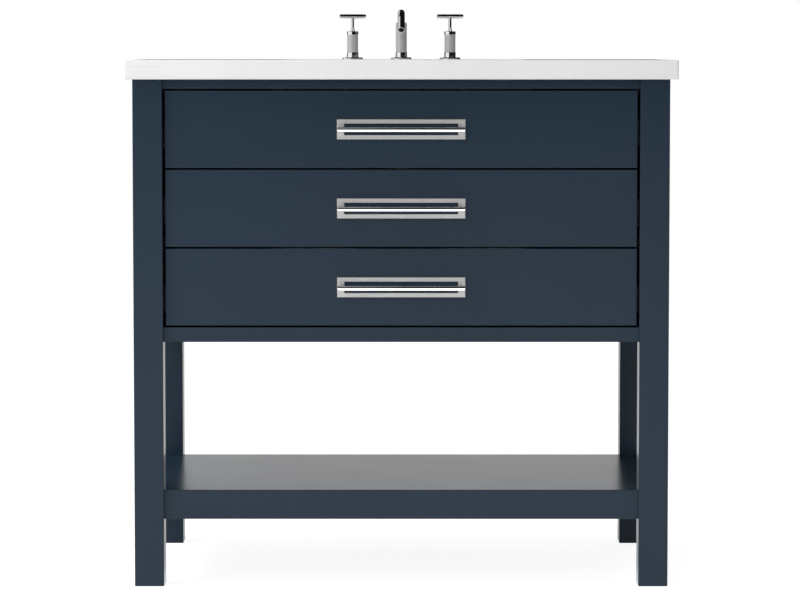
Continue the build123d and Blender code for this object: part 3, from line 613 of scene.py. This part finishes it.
def add_threads(brass, chrome):
    """Threads of the supply ends, of the valve bodies up to their nuts, and of the drain."""
    tree = thread_tree()
    low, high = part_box("faucet_shanks")
    handle = high.x - VALVE_BODY / 2
    axis = (low.y + high.y) / 2
    nuts_low, nuts_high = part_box("mounting_nuts")
    stands = (-handle, 0, handle)
    ends = [((x, axis, low.z + 1 * MM), (x, axis, low.z + 22 * MM)) for x in stands]
    bodies = [((x, axis, low.z + 25 * MM), (x, axis, nuts_high.z - 12 * MM)) for x in stands]
    seeds = line_seeds("supply_threads", ends)
    grow("supply_end_threads", seeds, tree, "cabinet", "brass", brass, Thread_Diameter=20.9 * MM)
    seeds = line_seeds("body_threads", bodies)
    grow("valve_body_threads", seeds, tree, "cabinet", "brass", brass, Thread_Diameter=VALVE_BODY)
    low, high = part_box("drain_body")
    axis = (low.y + high.y) / 2
    seeds = line_seeds("drain_threads", [((0, axis, low.z + 2 * MM), (0, axis, nuts_low.z - 1 * MM))])
    sizes = {"Thread_Diameter": 43.5 * MM, "Thread_Pitch": 2.2 * MM, "Ridge_Height": 0.8 * MM}
    grow("drain_body_threads", seeds, tree, "cabinet", "polished_chrome", chrome, **sizes)


def add_outlet_screen(plastic):
    """The screen lies across the aerator's mouth, which looks down and forward at 45 degrees."""
    low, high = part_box("spout_aerator")
    slant = math.sqrt(0.5)
    radius = high.x
    mouth = (0.0, low.y + radius * slant, low.z + radius * slant)
    seeds = point_seeds("outlet_screen", [(mouth, (0.0, -slant, -slant))])
    grow("spout_outlet_screen", seeds, screen_tree(), "cabinet", "dark_plastic", plastic)


def moulded(name, boxes, round_over, body, material):
    """Small mouldings or pressings: boxes with rounded edges, mirrored to both sides of the cabinet."""
    shape = bmesh.new()
    for low, high in boxes:
        for side in (1, -1):
            size = [b - a for a, b in zip(low, high)]
            middle = [(a + b) / 2 for a, b in zip(low, high)]
            place = Matrix.Translation((side * middle[0], middle[1], middle[2]))
            bmesh.ops.create_cube(shape, size=1.0, matrix=place @ Matrix.Diagonal((*size, 1)))
    bmesh.ops.bevel(shape, geom=shape.edges[:], offset=round_over, segments=2, affect="EDGES", profile=0.5)
    mesh = bpy.data.meshes.new(name)
    shape.to_mesh(mesh)
    shape.free()
    mesh.materials.append(material)
    made = bpy.data.objects.new(name, mesh)
    bpy.context.scene.collection.objects.link(made)
    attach(made, body)


def add_slide_ends(plastic):
    """Black plastic ends on the tracks and on the carriers' ball cages, which close the slides in front. They
    are
    also painted shade: black parts that keep the gaps beside the drawers dark.
    """
    cage_web, cage_arm = 2.6 * MM, 3.6 * MM
    track_lip, end_depth = 1.2 * MM, 9.7 * MM
    skin, play = 0.1 * MM, 0.15 * MM
    low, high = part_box("slide_tracks")
    outer, back = high.x - skin, low.y
    inner, front = high.x - end_depth, back - 2 * MM
    track = []
    for level in LEVELS:
        low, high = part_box(f"drawer_{level}_slide_carriers")
        middle, reach = (low.z + high.z) / 2, (high.z - low.z) / 2
        cage = [((high.x - cage_web, front, middle - reach), (high.x - skin, back, middle + reach))]
        for top in (middle + reach, middle - reach + cage_arm):
            cage.append(((inner, front, top - cage_arm), (high.x - cage_web, back, top)))
        name, carriers = f"slide_{level}_cage_ends", f"slide_carriers_{level}"
        moulded(name, cage, 0.3 * MM, carriers, plastic)
        lip = reach + 2 * play
        track.append(((high.x + play, front, middle - lip), (outer, back, middle + lip)))
        for foot in (middle + lip, middle - lip - track_lip):
            track.append(((inner, front, foot), (outer, back, foot + track_lip)))
    moulded("slide_track_ends", track, 0.25 * MM, "cabinet", plastic)


def add_hardware():
    steel = plated_steel("zinc_screws")
    bright = polished_chrome("bearing_steel")
    add_screws(steel)
    add_bearings(bright)
    add_threads(machined_brass("threaded_brass"), polished_chrome("threaded_chrome"))
    plastic = dark_plastic("moulded_plastic")
    add_outlet_screen(plastic)
    add_slide_ends(plastic)


# ---------------------------------------------------------------- studio
def plane(name, corners, material):
    """A flat sheet with one material, by its corners."""
    mesh = bpy.data.meshes.new(name)
    mesh.from_pydata(corners, [], [tuple(range(len(corners)))])
    mesh.materials.append(material)
    made = bpy.data.objects.new(name, mesh)
    bpy.context.scene.collection.objects.link(made)
    return made


def make_floor():
    """A pale floor that the camera sees as white, apart from the object's soft shadow. In front of the object
    it glows brighter than white in reflections only: a painted reflection, which lightens the lower fronts."""
    half = 9.0
    # Painted reflection: glossy rays see the floor in front glow at 1.9, brighter than white
    seen_white, front_reflection_glow = 0.90, 1.9
    front_end, back_start = -0.3, 0.0
    material = bpy.data.materials.new("studio_floor")
    material.use_nodes = True
    nodes, links = material.node_tree.nodes, material.node_tree.links
    output = nodes["Material Output"]
    lit = nodes["Principled BSDF"]
    lit.inputs["Base Color"].default_value = (0.90, 0.90, 0.90, 1)
    lit.inputs["Roughness"].default_value = 0.9
    lit.inputs["Specular IOR Level"].default_value = 0.1
    dim = nodes.new("ShaderNodeBsdfDiffuse")
    dim.inputs["Color"].default_value = (0.34, 0.34, 0.34, 1)
    glow = nodes.new("ShaderNodeEmission")
    place = nodes.new("ShaderNodeTexCoord")
    apart = nodes.new("ShaderNodeSeparateXYZ")
    links.new(place.outputs["Object"], apart.inputs["Vector"])
    reflected = nodes.new("ShaderNodeMapRange")
    set_range(reflected, front_end, back_start, front_reflection_glow, seen_white)
    links.new(apart.outputs["Y"], reflected.inputs["Value"])
    strength = nodes.new("ShaderNodeMapRange")
    strength.inputs["To Min"].default_value = seen_white
    links.new(reflected.outputs["Result"], strength.inputs["To Max"])
    links.new(strength.outputs["Result"], glow.inputs["Strength"])
    seen = nodes.new("ShaderNodeAddShader")
    links.new(dim.outputs["BSDF"], seen.inputs[0])
    links.new(glow.outputs["Emission"], seen.inputs[1])
    path = nodes.new("ShaderNodeLightPath")
    either = nodes.new("ShaderNodeMath")
    either.operation = "MAXIMUM"
    links.new(path.outputs["Is Camera Ray"], either.inputs[0])
    links.new(path.outputs["Is Glossy Ray"], either.inputs[1])
    links.new(path.outputs["Is Glossy Ray"], strength.inputs["Value"])
    mix = nodes.new("ShaderNodeMixShader")
    links.new(either.outputs["Value"], mix.inputs["Fac"])
    links.new(lit.outputs["BSDF"], mix.inputs[1])
    links.new(seen.outputs["Shader"], mix.inputs[2])
    links.new(mix.outputs["Shader"], output.inputs["Surface"])
    corners = [(-half, -half, 0), (half, -half, 0), (half, half, 0), (-half, half, 0)]
    plane("studio_floor", corners, material)


def dark_cloth():
    """Black cloth that gives no light back."""
    black = bpy.data.materials.new("studio_dark_cloth")
    black.use_nodes = True
    shader = black.node_tree.nodes["Principled BSDF"]
    shader.inputs["Base Color"].default_value = (0.012, 0.012, 0.012, 1)
    shader.inputs["Roughness"].default_value = 1.0
    shader.inputs["Specular IOR Level"].default_value = 0.0
    return black


def reflection_glow():
    """A grey glow that no lamp gives, which falls off just left of the middle: a painted reflection."""
    bright, dull = 0.36, 0.075
    fade_start, fade_end = -0.15, 0.0
    cloth = bpy.data.materials.new("studio_lit_cloth")
    cloth.use_nodes = True
    nodes, links = cloth.node_tree.nodes, cloth.node_tree.links
    place = nodes.new("ShaderNodeTexCoord")
    apart = nodes.new("ShaderNodeSeparateXYZ")
    fade = nodes.new("ShaderNodeMapRange")
    set_range(fade, fade_start, fade_end, bright, dull)
    glow = nodes.new("ShaderNodeEmission")
    links.new(place.outputs["Object"], apart.inputs["Vector"])
    links.new(apart.outputs["X"], fade.inputs["Value"])
    links.new(fade.outputs["Result"], glow.inputs["Strength"])
    links.new(glow.outputs["Emission"], nodes["Material Output"].inputs["Surface"])
    return cloth


def make_dark_screen():
    """Painted reflections: dark walls that only reflections show hang round the object under a roof. A glowing
    strip hangs under the roof in front of the drawers, with a dark curtain behind it. A black card far behind
    the back panel's cut-out, also seen only in reflections, keeps the gaps between the drawers dark: painted
    shade."""
    middle_y = 0.35
    reach, near, top = 2.0, 0.9, 2.6
    turn_step = 5  # degrees
    walls = (  # from and to, in degrees round from the front to the right; distance; lower and upper edge
        (-17, 20, reach, 0.72, top),
        (20, 60, reach, 0.82, 1.5),
        (60, 150, reach, 0.82, top),
        (150, 195, reach, 0.87, top),
        (195, 252, reach, 0.87, 1.75),
        (252, 343, near, top, top),  # only the roof, on the side of the lamps
    )
    corners, faces, cloths = [(0.0, middle_y, top)], [], []
    # Sheets: the dark ones, and the glowing strip, which is a painted reflection
    dark, lit = 0, 1
    for first, last, distance, foot, head in walls:
        count = max(1, round((last - first) / turn_step))
        for i in range(count):
            start = len(corners)
            for turn in (math.radians(first + (last - first) * (i + end) / count) for end in (0, 1)):
                x, y = distance * math.sin(turn), middle_y - distance * math.cos(turn)
                corners += [(x, y, foot), (x, y, head), (x, y, top)]
            faces.append((start + 2, start + 5, 0))
            cloths.append(dark)
            if foot < head:
                faces.append((start, start + 3, start + 4, start + 1))
                cloths.append(dark)

    def hang(cloth, *sheet):
        """One flat sheet of a cloth, by its corners."""
        start = len(corners)
        corners.extend(sheet)
        faces.append(tuple(range(start, len(corners))))
        cloths.append(cloth)

    side, under, front, back = 0.6, top - 0.02, -1.55, -0.3
    # Painted reflection: the glowing strip under the roof, with a dark curtain behind it
    hang(lit, (-side, front, under), (side, front, under), (side, back, under), (-side, back, under))
    behind, hem = -0.295, 1.4
    hang(dark, (-side, behind, hem), (side, behind, hem), (side, back, under), (-side, back, under))
    # Painted shade: the card darkens the gaps between the drawers through reflections
    side, low, high, behind = 0.45, 0.54, 0.76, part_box("back_panel")[1].y + 0.92
    hang(dark, (-side, behind, low), (side, behind, low), (side, behind, high), (-side, behind, high))

    mesh = bpy.data.meshes.new("studio_dark_screen")
    mesh.from_pydata(corners, [], faces)
    mesh.materials.append(dark_cloth())
    mesh.materials.append(reflection_glow())
    for face, cloth in zip(mesh.polygons, cloths):
        face.material_index = cloth
    screen = bpy.data.objects.new("studio_dark_screen", mesh)
    bpy.context.scene.collection.objects.link(screen)
    # Only reflections see the screen: all its sheets are painted reflections
    screen.visible_camera = False
    screen.visible_diffuse = False
    screen.visible_shadow = False


def make_world():
    """White to the camera and in reflections, and a plain soft light on everything."""
    fill, white = 0.30, 1.0
    world = bpy.data.worlds.new("studio")
    bpy.context.scene.world = world
    world.use_nodes = True
    nodes, links = world.node_tree.nodes, world.node_tree.links
    background = nodes["Background"]
    background.inputs["Color"].default_value = (1, 1, 1, 1)
    path = nodes.new("ShaderNodeLightPath")
    seen = nodes.new("ShaderNodeMath")
    seen.operation = "MAXIMUM"
    links.new(path.outputs["Is Camera Ray"], seen.inputs[0])
    links.new(path.outputs["Is Glossy Ray"], seen.inputs[1])
    seen_or_through = nodes.new("ShaderNodeMath")
    seen_or_through.operation = "MAXIMUM"
    links.new(seen.outputs["Value"], seen_or_through.inputs[0])
    links.new(path.outputs["Is Transmission Ray"], seen_or_through.inputs[1])
    strength = nodes.new("ShaderNodeMapRange")
    set_range(strength, 0.0, 1.0, fill, white)
    links.new(seen_or_through.outputs["Value"], strength.inputs["Value"])
    links.new(strength.outputs["Result"], background.inputs["Strength"])


def softbox(name, place, width, height, watts):
    """A soft lamp aimed at the middle of the object; reflections show the white room instead of it."""
    middle = Vector((0, 0, 0.5))
    light = bpy.data.lights.new(name, "AREA")
    light.shape = "RECTANGLE"
    light.size = width
    light.size_y = height
    light.energy = watts
    made = bpy.data.objects.new(name, light)
    made.location = place
    made.rotation_euler = (middle - Vector(place)).to_track_quat("-Z", "Y").to_euler()
    made.visible_glossy = False
    bpy.context.scene.collection.objects.link(made)


def light_studio():
    lamps = (  # name; place; width and height of the lit face; watts
        ("side_light", (-3.4, -3.4, 2.2), 2.6, 2.4, 46),
        ("front_light", (-0.8, -6.0, 3.0), 2.6, 2.0, 84),
        ("top_light", (-2.2, -0.8, 3.2), 2.2, 2.0, 80),
        ("back_light", (1.8, 4.6, 2.4), 2.4, 2.0, 34),
    )
    for lamp in lamps:
        softbox(*lamp)


def aim_camera():
    """A long lens far in front, a little higher than the counter, and looking down at the drawers."""
    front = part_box("leg_front_left")[0].y
    distance, eye_height, target_height, aside = 5.59, 0.894, 0.4794, 0.002
    eye = Vector((aside, front - distance, eye_height))
    target = Vector((-aside, front, target_height))
    camera = bpy.data.cameras.new("camera")
    camera.lens = 152.06
    camera.sensor_width = 36.0
    camera.clip_end = 60.0
    made = bpy.data.objects.new("camera", camera)
    made.location = eye
    made.rotation_euler = (target - eye).to_track_quat("-Z", "Y").to_euler()
    bpy.context.scene.collection.objects.link(made)
    bpy.context.scene.camera = made


# ---------------------------------------------------------------- scene
finish_cabinet()
finish_woodwork()
finish_metalwork()
finish_counter()
add_hardware()
make_floor()
make_dark_screen()
make_world()
light_studio()
aim_camera()
bpy.context.scene.view_settings.view_transform = "Standard"
